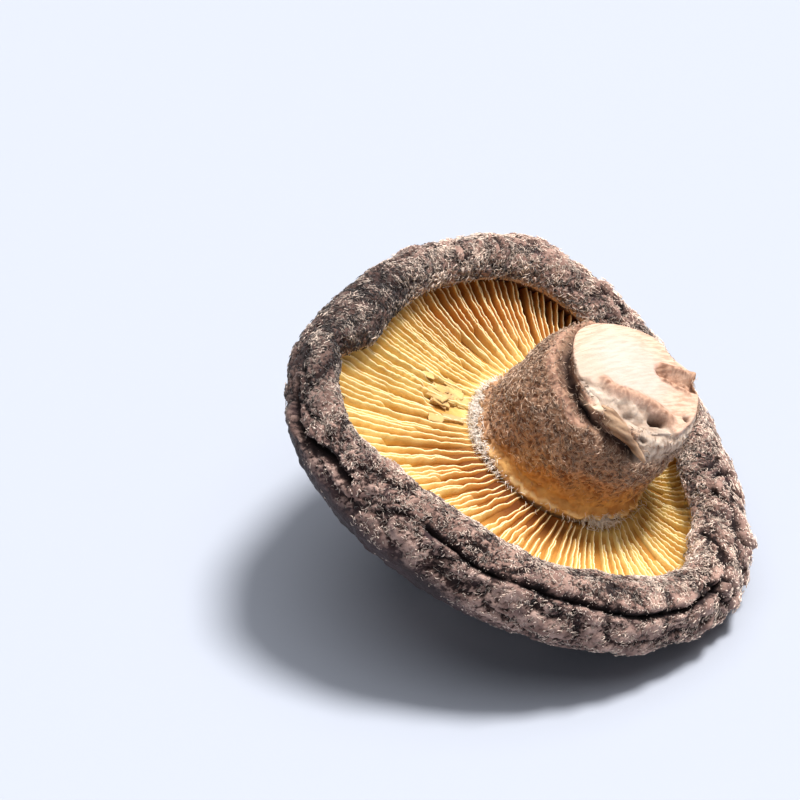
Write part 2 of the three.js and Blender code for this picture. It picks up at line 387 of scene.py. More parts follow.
section_rows = np.concatenate([
    np.linspace(0, SHARE_AT_EDGE, 10, endpoint=False),
    np.linspace(SHARE_AT_EDGE, SHARE_AT_SKIN, 66, endpoint=False),
    np.linspace(SHARE_AT_SKIN, 1, 54),
])
cap_rows = np.concatenate([[CENTRE_ROW, COLLAR_ROW], section_rows])
radius, height = cap_section(np.full(len(section_rows), 0.7), section_rows)
half_section = [(0, FLOOR_AT_STEM), (COLLAR_RADIUS, FLOOR_AT_STEM), *zip(radius, height)]
cap = turned("mushroom_cap", half_section, cap_rows, CAP_COLUMNS)

turned_places = places_of(cap)
cap_angle = np.arctan2(turned_places[:, 1], turned_places[:, 0])
cap_share = read_mark(cap, "row")
radius, height = cap_section(cap_angle, cap_share)
smooth_cap = from_xyz(radius * np.cos(cap_angle), radius * np.sin(cap_angle), height)
on_collar = from_xyz(*on_circle(COLLAR, COLLAR_RADIUS, cap_angle), FLOOR_AT_STEM)
smooth_cap = np.where((cap_share == COLLAR_ROW)[:, None], on_collar, smooth_cap)
smooth_cap = np.where((cap_share == CENTRE_ROW)[:, None], (COLLAR.x, COLLAR.y, FLOOR_AT_STEM), smooth_cap)
move_to(cap, smooth_cap)

# %% [markdown]
# The felt dries faster than the flesh, so the rim gathers into rounded folds with sharp creases between
# them. The size and direction of the folds changes round the rim, so a noise makes most of them, and the
# long creases that give this cap its look are strokes: each is a line of points on the rim, with the width
# and depth that a pressed tool would leave. Pale felt stands up beside each of them.

# %% Folds and creases
FOLD_DEPTH = 0.66
FOLD_SIZE = 3.6
SMALL_FOLD_DEPTH = 0.28
SMALL_FOLD_SIZE = 1.3
FELT_DEPTH = 0.11
FELT_SIZE = 0.4
GATHER_DEPTH = 0.5  # the rim's high side is gathered into close folds that run across it
GATHER_SIZE = 1.15
PLEAT_DEPTH = 0.2  # and the near side has fine pleats
PLEAT_SIZE = 0.5
RIM_RADIUS = 22  # turns an angle into millimetres along the rim
CREASES = [  # points on the rim, width and depth
    ([(-2.6, -21.3, 1.5), (-1.5, -21.4, 1.4), (0.3, -21.3, 1.2), (3.2, -21.2, 0.9), (8.4, -19.6, 1.3),
      (12.1, -18.1, 1.4), (15.6, -16.1, 1.2), (18.1, -14.2, 1.3), (21.3, -9.5, 1.2),
      (22.3, -5.5, 1.5)], 0.26, 1.1),
    ([(22.3, -5.5, 1.5), (21.7, -2.8, 2.0), (20.7, -1.6, 2.0), (18.8, -0.4, 1.1)], 0.26, 0.9),
    ([(17.9, 4.9, 1.9), (18.7, 4.6, 2.1), (19.5, 4.3, 2.3), (20.3, 3.6, 2.1), (20.9, 2.6, 1.9),
      (21.6, 1.4, 2.0), (22.7, 1.5, 1.4), (23.5, 1.9, 0.6)], 0.28, 1.1),
    ([(17.0, 6.5, 2.3), (18.0, 7.9, 2.1), (19.3, 8.8, 1.1)], 0.25, 0.8),
    ([(15.8, 6.8, 2.2), (16.3, 7.2, 2.4), (16.8, 9.2, 2.1)], 0.22, 0.6),
    ([(20.7, -2.1, 1.9), (21.5, -3.3, 2.3), (22.9, -3.2, 1.4)], 0.24, 0.8),
    ([(21.3, -7.2, 1.9), (21.6, -6.3, 1.8), (22.7, -6.2, 1.2), (23.7, -5.2, -0.3)], 0.24, 0.8),
    ([(21.7, -5.5, 1.8), (22.6, -4.6, 1.2), (23.9, -4.0, -0.2)], 0.24, 0.7),
    ([(-19.2, -12.4, -0.2), (-18.9, -13.6, -0.6), (-18.1, -15.0, -1.1), (-16.3, -17.2, -1.1),
      (-14.4, -17.9, -0.5), (-12.6, -18.6, -0.1), (-10.6, -19.6, -0.4)], 0.28, 1.1),
    ([(-19.6, 5.0, 1.2), (-18.4, 7.8, 1.7), (-17.1, 12.0, 1.6), (-15.9, 14.6, 1.5)], 0.26, 0.8),
    ([(-15.3, 14.3, 2.1), (-14.0, 14.0, 2.0), (-13.2, 13.2, 2.0)], 0.22, 0.6),
    ([(-12.4, 19.4, 1.4), (-12.1, 18.5, 1.9), (-11.1, 17.2, 2.0)], 0.22, 0.6),
    ([(-10.4, 20.8, 1.9), (-9.2, 21.1, 2.1), (-7.4, 21.9, 1.6)], 0.24, 0.6),
    ([(-7.0, 22.2, 1.4), (-6.6, 21.5, 2.0), (-6.0, 20.8, 2.2)], 0.24, 0.6),
    ([(-0.8, 20.8, 2.0), (0.5, 20.3, 2.1), (1.4, 19.8, 2.3), (2.1, 19.3, 2.2)], 0.26, 0.9),
    ([(1.3, 19.9, 2.2), (2.2, 20.8, 1.9)], 0.3, 0.9),
]


def crease_cuts(places):
    """The relief of the written creases and the felt beside them, where they are, and what is near them."""
    uneven = 1 + 0.45 * bumps(places, 1.2, seed=55)
    places = places + 0.2 * bumps3(places, 1.0, (51, 52, 53))
    relief = np.zeros(len(places))
    cut_at = np.zeros(len(places))
    beside = np.zeros(len(places))
    for line, width, depth in CREASES:
        away = distance_to(places, line) / uneven
        cut = hump(away, width)
        shoulder = hump(away - 2.6 * width, 1.5 * width)
        relief += 0.2 * depth * shoulder * (1 - cut) - depth * cut
        cut_at = np.maximum(cut_at, cut)
        beside = np.maximum(beside, 1 - smoothstep(away, 2 * width, 4 * width))
    return relief, cut_at, beside


bare_side = facing(cap_angle, 248, 0.7, 0.95)  # here the skin starts nearer the rim
felt_ends = smoothstep(cap_share, 0.6 - 0.055 * bare_side, 0.74 - 0.11 * bare_side)
felted = smoothstep(cap_share, 0.245, 0.31) * (1 - felt_ends)
fold_places = smooth_cap * np.array([1, 1, 1.7])
folds = gathered(fold_places, FOLD_SIZE, 1)
small_folds = gathered(fold_places + 0.8 * folds[:, None], SMALL_FOLD_SIZE, 2)
curls = 0.3 * bumps3(smooth_cap, 0.8, (31, 32, 33))
felt = 0.6 - 2.4 * np.abs(bumps(smooth_cap + curls, FELT_SIZE, seed=3))
smooth_normals = normals_of(cap)
creases, crease_at, beside_crease = crease_cuts(smooth_cap)
past_lip = smoothstep(cap_share, 0.28, 0.42)
high_side = facing(cap_angle, -1, 0.86, 0.97) * smoothstep(cap_share, 0.3, 0.36)
along_rim = RIM_RADIUS * cap_angle
round_rim = from_xyz(along_rim + 2.5 * folds, 12 * cap_share, 0)
gathers = gathered(round_rim, (GATHER_SIZE, 4.5, 1), 54)
slanted = from_xyz(along_rim + 9 * cap_share + 2.0 * small_folds, 14 * cap_share, 3 * folds)
pleats = gathered(slanted, (PLEAT_SIZE, 2.6, 3), 56)
pleated = facing(cap_angle, 250, 0.25, 0.85) * smoothstep(cap_share, 0.27, 0.33)
pleated = pleated * np.clip(1.2 - 0.9 * folds, 0.3, 1)
cap_relief = felted * (
    high_side * GATHER_DEPTH * (1.5 * gathers - 0.9)
    + FOLD_DEPTH * (1.5 * folds - 0.8) * lerp(0.25, 1, past_lip)
    + SMALL_FOLD_DEPTH * (1.5 * small_folds - 0.75) * lerp(0.6, 1, past_lip)
    + pleated * PLEAT_DEPTH * (1.5 * pleats - 0.75)
    + FELT_DEPTH * felt
) + creases * (cap_share > 0.2)
print("rim relief, mm:", round(float(cap_relief.min()), 2), "to", round(float(cap_relief.max()), 2))

# %% [markdown]
# The skin of the flank and the crown is smooth, with a fine net of wrinkles near the rim. Where it grew
# faster than it could stretch it has split, and the splits show pale flesh. The splits run between cells
# of about a centimetre, so their place comes from a Voronoi pattern, whose two nearest cells are equally
# far away on the border. They are cut in, and marked, so that the finish can make them pale.

# %% Skin, wrinkles and splits
SPLIT_SIZE = 9.5
SPLIT_WIDTH = 0.09
SPLIT_DEPTH = 0.45
WRINKLE_DEPTH = 0.16
WRINKLE_SIZE = 1.5


def border_of_cells(places, size):
    """0 on the border between two cells, and up to about 1 inside them."""
    gaps = []
    for at in (places / size).tolist():
        nearest = noise.voronoi(at)[0]
        gaps.append(nearest[1] - nearest[0])
    return np.array(gaps)


skin = smoothstep(cap_share, 0.62 - 0.06 * bare_side, 0.72 - 0.1 * bare_side)
on_crown = smoothstep(cap_share, 0.7, 0.8)
wander = bumps3(smooth_cap, 5, (11, 12, 13), octaves=2)
cell_gap = border_of_cells(smooth_cap + 1.8 * wander, SPLIT_SIZE)
split = on_crown * (1 - smoothstep(cell_gap, 0.4 * SPLIT_WIDTH, 1.3 * SPLIT_WIDTH))
skin_wrinkles = np.abs(bumps(smooth_cap, WRINKLE_SIZE, seed=4, octaves=2)) * (1 - 0.6 * on_crown)
cap_relief += skin * WRINKLE_DEPTH * (2 * skin_wrinkles - 0.5) - SPLIT_DEPTH * split
cap_places = settle(smooth_cap + cap_relief[:, None] * smooth_normals)
move_to(cap, cap_places)

# raised paints high felt lighter and low felt darker, in the finish and on the threads: painted highlight and
# shade
raised = 0.5 + 0.9 * cap_relief + 0.25 * felt + 1.3 * pleated * (pleats - 0.55)
in_folds = np.maximum(1 - smoothstep(folds, 0.08, 0.3), high_side * (1 - smoothstep(gathers, 0.1, 0.36)))
shaded = facing(cap_angle, 188, 0.7, 0.96)
write_marks(
    cap,
    skin=skin,
    split=split,
    raised=np.clip(raised, 0, 1),
    flank=skin * (1 - on_crown),
    # The crease mark darkens the creases and the hollows between the folds: painted shade
    crease=np.clip(crease_at + 0.85 * felted * in_folds, 0, 1),
    shaded=shaded,
    inside=1 - smoothstep(cap_share, 0.19, 0.246),
    lip=hump(cap_share - 0.252, 0.02),
    outer=smoothstep(cap_share + 0.05 * folds, 0.44, 0.54),
)
lay_down(cap)

# %% [markdown]
# ## The gills
# The gills are thin upright blades that run from the stem to the rim. Every second one starts only part of
# the way out. They are coloured darker orange-brown towards their roots, and their free edges are pale and
# finely torn. Three blades are modelled, a long, a short and a tiny one. Each is a sheet with enough cells
# to bend, given its thickness by Solidify. The copies are bent to their places between the stem's collar
# and the wall under the rim, each with its own waves and teeth.

# %% The gills' measures
GILL_SETS = 42  # each set has two blades that reach the stem, with a short and a very short one between
ROOT_THICKNESS = 0.84
CREST_THICKNESS = 0.075
GILL_PLATE = 1.0
GILL_EDGE_AT_RIM = -1.2
GILL_EDGE_AT_STEM = -3.0
GILL_SAG = 0.5
TOOTH_HEIGHT = 0.1
TEETH = 40  # along a whole blade
FAR_SIDE = (105, 0.35, 0.9)  # these blades, under the widest overhang, get painted shade
NEAR_SIDE = (262, 0.4, 0.95)  # and so do these, where they meet the stem
BROKEN_AT = Vector((-7.7, 0.5))  # the middle of the patch where blades have broken off
BROKEN_SIZE = 2.9
draw = np.random.default_rng(5)


def gill_plan(angle, share, reach):
    """A place seen along the cap's axis, between the stem's collar (0) and the wall behind the rim (1)."""
    rim = opening_radius(angle) + reach
    collar_x, collar_y = on_circle(COLLAR, COLLAR_RADIUS, angle)
    return lerp(collar_x, rim * np.cos(angle), share), lerp(collar_y, rim * np.sin(angle), share)


def gill_floor(angle, share):
    return lerp(FLOOR_AT_STEM, rim_floor(angle), share) + GAP


def gill_edge(share):
    return lerp(GILL_EDGE_AT_STEM, GILL_EDGE_AT_RIM, share) - GILL_SAG * np.sin(math.pi * share)


def wall_reach(angle, level):
    """How far behind the opening's edge the wall under the rim is, at one level."""
    roll = cap_radius(angle) - opening_radius(angle)
    return roll * np.interp(level, [-5.0, -4.2, -2.6, -1.2, 0], [0.15, 0.3, 0.3, 0.18, 0])


# %% Model the blades
def thick_sheet(name, along, up, thickness):
    """A sheet one unit long and high, with cells along it and up it."""
    add = bpy.ops.mesh.primitive_grid_add
    sheet = start_piece(name, add, x_subdivisions=along, y_subdivisions=up, size=1, location=(0, 0, 0))
    thicken(sheet, thickness, 0)
    print(name, len(sheet.data.polygons), "faces")
    return sheet


long_blade = thick_sheet("long_blade", 64, 3, 1)
short_blade = thick_sheet("short_blade", 54, 3, 1)
tiny_blade = thick_sheet("tiny_blade", 30, 3, 1)
BLADES = [  # the model, its place in the set, where it starts from the stem (0) to the rim (1), give or take
    (long_blade, 0.0, 0.0, 0.0),
    (tiny_blade, 0.25, 0.38, 0.14),
    (long_blade, 0.5, 0.0, 0.0),
    (short_blade, 0.75, 0.12, 0.08),
]


# %% Bend a copy to each place
def bend_blade(piece, middle, start, fullness, seed):
    shape = places_of(piece)
    share = start + (1 - start) * (shape[:, 0] + 0.5)
    rise = shape[:, 1] + 0.5
    near = facing(middle, *NEAR_SIDE)
    side = shape[:, 2] * lerp(ROOT_THICKNESS, CREST_THICKNESS, rise ** (1.25 + 0.6 * near))
    root = gill_floor(middle, share)
    end_level = lerp(gill_floor(middle, 1), GILL_EDGE_AT_RIM + 0.3, rise)
    x, y = gill_plan(middle, share, wall_reach(middle, end_level))
    field = from_xyz(x, y, 0)
    shared_wave = 0.26 * bumps(field, 5.5, seed=21)
    own_wave = 0.035 * bumps(field, 2.2, seed=30 + seed)
    near_wave = 0.3 * near * bumps(field, 1.4, seed=22)
    near_wave = near_wave * smoothstep(share, 0, 0.15) * (1 - smoothstep(share, 0.4, 0.8))
    aside = side + rise * ((shared_wave + own_wave) * smoothstep(share, 0.02, 0.3) + near_wave)
    from_patch = np.hypot(x - BROKEN_AT.x, y - BROKEN_AT.y)
    broken = (1 - smoothstep(from_patch, 0.7 * BROKEN_SIZE, BROKEN_SIZE)) * (seed % 3 > 0)
    teeth = np.random.default_rng(seed).uniform(-1, 1, TEETH + 2)
    tooth = np.interp(share * TEETH, np.arange(TEETH + 2), teeth)
    uneven = TOOTH_HEIGHT * tooth + 0.05 * bumps(field, 1.8, seed=23 + seed)
    grown = smoothstep(share, start, start + 0.16) if start > 0 else 1
    crest = gill_edge(share) + 0.3 * smoothstep(share, 0.8, 1) + uneven - 0.5 * broken
    level = root + (crest - root) * rise * fullness * grown
    place = from_xyz(x - aside * math.sin(middle), y + aside * math.cos(middle), level)
    move_to(piece, place)
    # Painted shade: darker on the far side towards the rim, and on the near side beside the stem
    browned = facing(middle, *FAR_SIDE) * smoothstep(share, 0.15, 0.75)
    browned = browned + 0.95 * near * (1 - smoothstep(share, 0.15, 0.7))
    write_marks(piece, rise=rise * (0.4 + 0.6 * grown), browned=browned)


blades = []
for number in range(GILL_SETS):
    for kind, (sheet, offset, start, spread) in enumerate(BLADES):
        middle = (number + offset + draw.uniform(-0.12, 0.12)) / GILL_SETS * TURN
        copy = copy_of(sheet)
        begins = start + spread * draw.uniform(-1, 1)
        bend_blade(copy, middle, begins, draw.uniform(0.88, 1.03), 4 * number + kind)
        blades.append(copy)
print("blades:", len(blades))

# %% [markdown]
# Between the blades lies the bed that they grow from: a ring from the collar out to the wall. It starts as
# a circle at the collar, is extruded outwards row by row, and Solidify gives it the thickness of flesh.

# %% The bed of the gills
BED_ROWS = 14
BED_STEP = 1.05
WEB_ENDS = 0.34  # beside the stem a web fills the gaps, out to this share of the way
add_circle = bpy.ops.mesh.primitive_circle_add
bed = start_piece("gill_bed", add_circle, vertices=6 * GILL_SETS, radius=COLLAR_RADIUS, location=(0, 0, 0))
mode("EDIT")
bpy.ops.mesh.select_all(action="SELECT")
for row in range(BED_ROWS):
    bpy.ops.mesh.extrude_region_move()
    bpy.ops.transform.resize(value=(BED_STEP, BED_STEP, 1))
mode("OBJECT")
flat = places_of(bed)
bed_angle = np.arctan2(flat[:, 1], flat[:, 0])
bed_row = np.round(np.log(np.hypot(flat[:, 0], flat[:, 1]) / COLLAR_RADIUS) / math.log(BED_STEP))
bed_share = bed_row / BED_ROWS
x, y = gill_plan(bed_angle, bed_share, 0.2)
bed_floor = gill_floor(bed_angle, bed_share)
near = facing(bed_angle, *NEAR_SIDE)
web = lerp(0.45, 0.75, near) * (1 - smoothstep(bed_share, 0.0, WEB_ENDS * lerp(1, 0.6, near)))
bed_level = bed_floor + GILL_PLATE + web * (gill_edge(bed_share) - bed_floor - GILL_PLATE)
move_to(bed, from_xyz(x, y, bed_level))
# Painted shade on the bed as on the blades. On the near side the web also keeps the roots' darker colour, as
# painted shade by the stem's foot
browned = facing(bed_angle, *FAR_SIDE) * smoothstep(bed_share, 0.15, 0.75)
browned = browned + near * (1 - smoothstep(bed_share, 0.1, 0.6))
write_marks(bed, rise=web * lerp(1, 0.6, near), browned=browned)
thicken(bed, GILL_PLATE, -1)

# %% [markdown]
# Where the blades have broken, lengths of their edges have folded over and lie flat on their neighbours.
# One is a small sheet, thickened. Each copy gets its own ragged outline and lies along the blades, nearly
# level with their edges.

# %% Folded lengths on the broken patch
CHIPS = 18
CHIP_THICKNESS = 0.06
GILL_LENGTH = 11  # of the blades that pass through the patch
CHIP_FRAY = [(0.45, 60, 0.34), (0.5, 95, 0.16), (0.9, 130, 0.06)]  # for each axis: size, seed and how far
chip = thick_sheet("gill_chip", 10, 4, CHIP_THICKNESS)
chip_shape = places_of(chip)
for number in range(CHIPS):
    piece = copy_of(chip)
    at = np.array(BROKEN_AT) + draw.normal(0, 0.4 * BROKEN_SIZE, 2)
    from_collar = at - np.array(COLLAR.xy)
    outwards = math.atan2(from_collar[1], from_collar[0])
    share = float(np.clip((np.hypot(*from_collar) - COLLAR_RADIUS) / GILL_LENGTH, 0, 1))
    sized = chip_shape * np.array([draw.uniform(1.1, 2.3), draw.uniform(0.7, 1.2), 1])
    frays = [far * bumps(sized, size, seed + number) for size, seed, far in CHIP_FRAY]
    frayed = sized + np.stack(frays, axis=1)
    turn = Matrix.Rotation(outwards + draw.normal(0, 0.1), 3, "Z")
    turn = turn @ Matrix.Rotation(draw.normal(0, 0.12), 3, "X")
    turn = turn @ Matrix.Rotation(draw.normal(0, 0.05), 3, "Y")
    level = gill_edge(share) - 0.3 + 0.2 * draw.random()
    move_to(piece, frayed @ np.array(turn).T + np.array([at[0], at[1], level]))
    write_marks(piece, rise=0.8, worn=draw.uniform(0.3, 1), browned=0)
    blades.append(piece)

# %% Join the gills into one piece
gills = join("gill_blades", bed, blades)
for model in (chip, long_blade, short_blade, tiny_blade):
    bpy.data.objects.remove(model)
lay_down(gills)

# %% [markdown]
# ## The stem
# The stem is a stout felted column that swells towards its foot, and a knife has trimmed its end. The cut
# is a pale, gently rounded face. Beside it the skin has come away: there is a groove under the edge, a
# strip that hangs over a gap, a torn fold and hollows with ragged fibres. Like the cap, it starts as a
# drawn half section that is spun, and its rows are moved out to the leaning centre line. Each torn part is
# a stroke pressed in or raised.

# %% The stem's measures
STEM_LINE = np.array([  # centre x, y, height and radius, from the foot to the cut end
    (3.7, 3.2, -4.5, 8.0),
    (3.8, 3.2, -2.6, 8.3),
    (4.2, 3.3, 0.6, 8.1),
    (4.7, 3.3, 3.8, 8.1),
    (5.1, 3.4, 6.6, 7.7),
    (5.3, 3.5, 8.8, 6.9),
    (5.5, 3.5, 10.4, 5.5),
])
STEM_LUMPS = 0.7
CUT_LEVEL = 9.2
CUT_SLOPE = 0.08
CUT_CENTRE = Vector((5.3, 3.5))
CUT_RADIUS = 6.6  # about how far its edge is from its centre
CUT_CROWN = 0.75  # how far the cut bulges in its middle
CUT_RADII = [6.5, 6.9, 7.4, 6.1, 6.4, 5.9, 5.8, 6.1, 6.5, 6.4, 6.4, 6.6, 6.7, 6.6, 6.5, 6.5]
STEM_COLUMNS = 380
SIDE_ROWS = 110
CUT_ROWS = 48
DRAWN_FOOT = 8  # radii of the plain half section, before it is pushed out
DRAWN_END = 6.5
FOOT_ROW = -1  # the row marks run from here at the foot's centre to 0, up the side to 1, over the cut to 2

fine = np.linspace(0, 1, 200)
line_x, line_y, line_z, line_radius = (along_stations(STEM_LINE[:, axis], fine) for axis in range(4))


def stem_ring(level):
    """The stem's centre and radius at each of the given levels."""
    return (
        np.interp(level, line_z, line_x),
        np.interp(level, line_z, line_y),
        np.interp(level, line_z, line_radius),
    )


def cut_level(x, y):
    from_middle = np.hypot(x - CUT_CENTRE.x, y - CUT_CENTRE.y) / CUT_RADIUS
    return CUT_LEVEL - CUT_SLOPE * (x - CUT_CENTRE.x) + CUT_CROWN * (0.6 - from_middle**2)


# %% Turn the stem and lean it
side = np.linspace(0, 1, SIDE_ROWS)
over = np.linspace(1, 2, CUT_ROWS)[1:]
foot_z = STEM_LINE[0, 2]
drawn = [(0, foot_z)]
drawn += [(lerp(DRAWN_FOOT, DRAWN_END, share), lerp(foot_z, CUT_LEVEL, share)) for share in side]
drawn += [(DRAWN_END * (2 - share), CUT_LEVEL) for share in over]
stem = turned("mushroom_stem", drawn, np.concatenate([[FOOT_ROW], side, over]), STEM_COLUMNS)

flat = places_of(stem)
stem_angle = np.arctan2(flat[:, 1], flat[:, 0])
stem_row = read_mark(stem, "row")
edge_z = cut_level(*on_circle(CUT_CENTRE, CUT_RADIUS, stem_angle))
level = foot_z + (edge_z - foot_z) * np.clip(stem_row, 0, 1)
centre_x, centre_y, radius = stem_ring(level)
round_lumps = from_xyz(2.2 * np.cos(stem_angle), 2.2 * np.sin(stem_angle), 0.22 * level)
radius = radius + STEM_LUMPS * bumps(round_lumps, 1, seed=5) * smoothstep(level, -2.5, 1)
far_side = facing(stem_angle, 85, 0.55, 0.95)
radius = lerp(radius, ring_radius(CUT_RADII)(stem_angle), smoothstep(level, 7.4 - 3.4 * far_side, 8.9))
radius = radius * np.clip(2 - stem_row, 0, 1) * (stem_row > FOOT_ROW)
x = centre_x + radius * np.cos(stem_angle)
y = centre_y + radius * np.sin(stem_angle)
level = np.where(stem_row > 1, cut_level(x, y), level)
smooth_stem = from_xyz(x, y, level)
move_to(stem, smooth_stem)

# %% Tears, folds and hollows
SCORES = [  # pressed in: points, width and depth
    ("groove", [(1.6, 9.9, 8.6), (-0.9, 7.3, 8.6), (-1.6, 4.6, 8.6), (-1.3, 1.4, 8.5), (0.1, -1.1, 8.2),
                (1.4, -2.5, 8.0), (2.8, -3.5, 7.8)], 0.62, 1.2),
    ("flap_gap", [(2.8, -3.6, 7.8), (3.7, -3.8, 7.7), (5.0, -3.8, 7.4), (6.7, -3.6, 6.9), (8.1, -3.4, 6.7),
                  (9.6, -3.3, 6.3)], 0.6, 1.6),
    ("dark_hole", [(9.1, 0.0, 8.8), (9.9, 0.4, 8.7)], 0.34, 1.0),
    ("hollow", [(7.4, 5.7, 9.1), (8.8, 6.2, 9.0), (10.1, 7.1, 8.8), (11.0, 8.3, 8.6)], 0.6, 0.75),
    ("pit", [(11.6, 3.0, 8.6), (11.8, 3.3, 8.5)], 0.22, 0.6),
    ("low_pit", [(6.7, -1.5, 8.9), (7.2, -1.3, 8.9)], 0.25, 0.35),
    ("side_pit", [(9.2, -2.4, 8.0), (9.5, -2.2, 7.7)], 0.22, 0.4),
]
RIDGES = [  # raised: points, width and height
    ("fold", [(3.3, -0.3, 9.4), (4.4, -0.4, 9.3), (5.8, 0.3, 9.2), (7.4, 1.0, 9.1), (8.9, 1.3, 9.0),
              (10.1, 1.4, 8.8)], 0.55, 0.4),
    ("hollow_lip", [(7.1, 6.5, 9.1), (8.6, 7.6, 9.0), (10.1, 9.0, 8.8)], 0.32, 0.42),
    ("hollow_floor", [(7.7, 5.0, 9.0), (9.0, 5.5, 8.9), (10.4, 6.2, 8.7)], 0.3, 0.25),
    ("chipped_corner", [(2.1, -2.9, 8.3), (2.9, -3.2, 8.4), (3.8, -3.3, 8.6), (4.6, -3.2, 8.9)], 0.26, 0.55),
]

score = {name: hump(distance_to(smooth_stem, line), width) for name, line, width, depth in SCORES}
ridge = {name: hump(distance_to(smooth_stem, line), width) for name, line, width, height in RIDGES}
pressed = sum(depth * score[name] for name, line, width, depth in SCORES)
lifted = sum(height * ridge[name] for name, line, width, height in RIDGES)

# %% [markdown]
# Beyond the fold the cut face has broken away and shows torn grey flesh, down to the hanging strip. The
# region is the part of the end on the -Y side of the fold. It drops a little and is rough with fibres that
# run down the stem.

# %% Torn flesh, knife marks and felt
on_cut = smoothstep(stem_row, 0.965, 0.99)
FOLD_LINE = [  # x and y of the line that the fold follows over the cut
    (0, -1.6), (3.3, -1.0), (4.4, -1.0), (5.8, -0.4), (7.4, 0.3), (8.9, 0.5), (10.2, 0.7), (12, 0.7),
]
fold_line_y = np.interp(x, *zip(*FOLD_LINE))
fold_line_y = fold_line_y + 0.2 * bumps(smooth_stem, 1.0, seed=6, octaves=2)
past_fold = 1 - smoothstep(y, fold_line_y - 0.35, fold_line_y + 0.2)
below_fold = smoothstep(fold_line_y - y, 0.0, 2.6)
torn_top = on_cut * past_fold
torn_side = smoothstep(level, 5.2, 6.4) * facing(stem_angle, -22, 0.72, 0.86) * (1 - on_cut)
torn = np.maximum(torn_top, torn_side)
near_hollow = np.clip(score["hollow"] + ridge["hollow_lip"] + ridge["hollow_floor"], 0, 1) * on_cut
clean_cut = on_cut * (1 - past_fold) * (1 - near_hollow)
clean_cut = clean_cut * (1 - score["dark_hole"]) * (1 - 0.7 * ridge["fold"])
wander = 0.35 * bumps3(smooth_stem, 0.8, (41, 42, 43))
fibres_down = bumps(smooth_stem + wander, (0.4, 0.4, 2.2), seed=7, octaves=2)
HOLLOW_TURN = math.radians(40)  # the hollow and the knife's marks run this far round from +X
cosine, sine = math.cos(HOLLOW_TURN), math.sin(HOLLOW_TURN)
turned_x = smooth_stem @ np.array([cosine, sine, 0])
turned_y = smooth_stem @ np.array([-sine, cosine, 0])
along_hollow = from_xyz(turned_x, turned_y, level)
fibres_over = bumps(along_hollow + 0.4 * wander, (2.2, 0.26, 0.8), seed=47, octaves=2)
knife_marks = bumps(along_hollow, (3.5, 0.3, 3), seed=8, octaves=2)
side_felt = 0.5 - 2.2 * np.abs(bumps(smooth_stem + wander, 0.55, seed=9))
mounds = bumps(smooth_stem, 2.0, seed=10)
torn_lumps = bumps(smooth_stem + wander, (1.7, 1.0, 1.3), seed=48, octaves=2)
ragged = 0.6 + 0.55 * bumps(smooth_stem, 0.9, seed=49, octaves=2) + 0.15 * side_felt
foot_flare = 0.75 * hump(level + 2.25, 0.6) * ragged
foot_flare -= 0.2 * hump(level + 1.2 - 0.35 * mounds, 0.16) * smoothstep(ragged, 0.45, 0.7)
stem_relief = (
    lifted
    - pressed
    - torn_top * (0.25 + 0.6 * below_fold)
    - 0.35 * torn_side
    + 0.08 * torn_side * fibres_down
    + torn_top * (0.34 * torn_lumps + 0.1 * fibres_down)
    + near_hollow * 0.24 * fibres_over
    + 0.03 * clean_cut * knife_marks
    + (1 - on_cut) * (1 - torn_side) * (0.13 * side_felt + 0.2 * mounds)
    + foot_flare
)
stem_relief *= smoothstep(stem_row, 0.0, 0.04)
stem_places = smooth_stem + stem_relief[:, None] * normals_of(stem)
move_to(stem, stem_places)
stem_normals = normals_of(stem)

# %% Mark the stem for its finish
BARE_ABOVE = 6.2  # the level from which a band beside the groove is bare
groove_line = SCORES[0][1]
bare_band = hump(distance_to(smooth_stem, groove_line) - 1.2, 0.45) * (1 - on_cut) * (level > BARE_ABOVE)
# deep darkens the groove, the gap under the strip, the hole and the pits: painted shade
in_hole = score["dark_hole"] + score["pit"] + 0.8 * score["low_pit"] + 0.8 * score["side_pit"]
below_edge = (score["groove"] + score["flap_gap"]) * (1 - on_cut)
# Away from warm_side the gold, the flesh and the foot's cream fade out and the stem stays darker there:
# painted shade
warm_side = facing(stem_angle, 300, 0.1, 0.8)
warm = 1 - smoothstep(level + 0.8 * mounds, -2.4, lerp(-0.3, 4.6, warm_side))
flesh = 1 - smoothstep(level + 0.6 * mounds + 0.3 * ragged, -1.8, lerp(-0.9, 1.0, warm_side))
warm *= lerp(0.2, 1, warm_side)
foot_line = hump(level + 2.05 + 0.3 * ragged, 0.2) + 0.35 * (1 - smoothstep(level, -2.6, -1.9))
fibre_height = np.where(on_cut > 0.5, 0.5 * fibres_over + 0.6 * torn_lumps, fibres_down)
# raised paints high fibres and felt lighter and low ones darker: painted highlight and shade
raised = 0.5 + 0.6 * side_felt * (1 - torn) + 0.6 * fibre_height * np.maximum(torn, near_hollow)
write_marks(
    stem,
    cut=clean_cut,
    # edge darkens the cut towards its rim so that its middle stays bright: a painted highlight
    edge=smoothstep(np.hypot(x - 4.6, y - 3.2), 2.0, 6.2) * on_cut,
    grey=1 - smoothstep(np.hypot(x - 1.2, y + 1.6), 1.6, 4.2),
    brown=np.clip(near_hollow + 0.9 * ridge["fold"] * on_cut, 0, 1),
    torn=torn * (1 - score["dark_hole"]) * (1 - 0.9 * ridge["chipped_corner"]),
    chip=smoothstep(ridge["chipped_corner"], 0.3, 0.7),
    deep=np.clip(below_edge + in_hole, 0, 1),
    bare=bare_band,
    warm=warm,
    flesh=flesh * lerp(0.1, 1, warm_side),
    foot=np.clip(foot_line, 0, 1) * lerp(0.12, 1, warm_side),
    raised=np.clip(raised, 0, 1),
)

# %% [markdown]
# The hanging strip is a piece of skin that the knife left, thick at its root and pointed at its tip. It
# starts as a slim cone laid along its line, cut into enough rings to give it a bow and an uneven side.

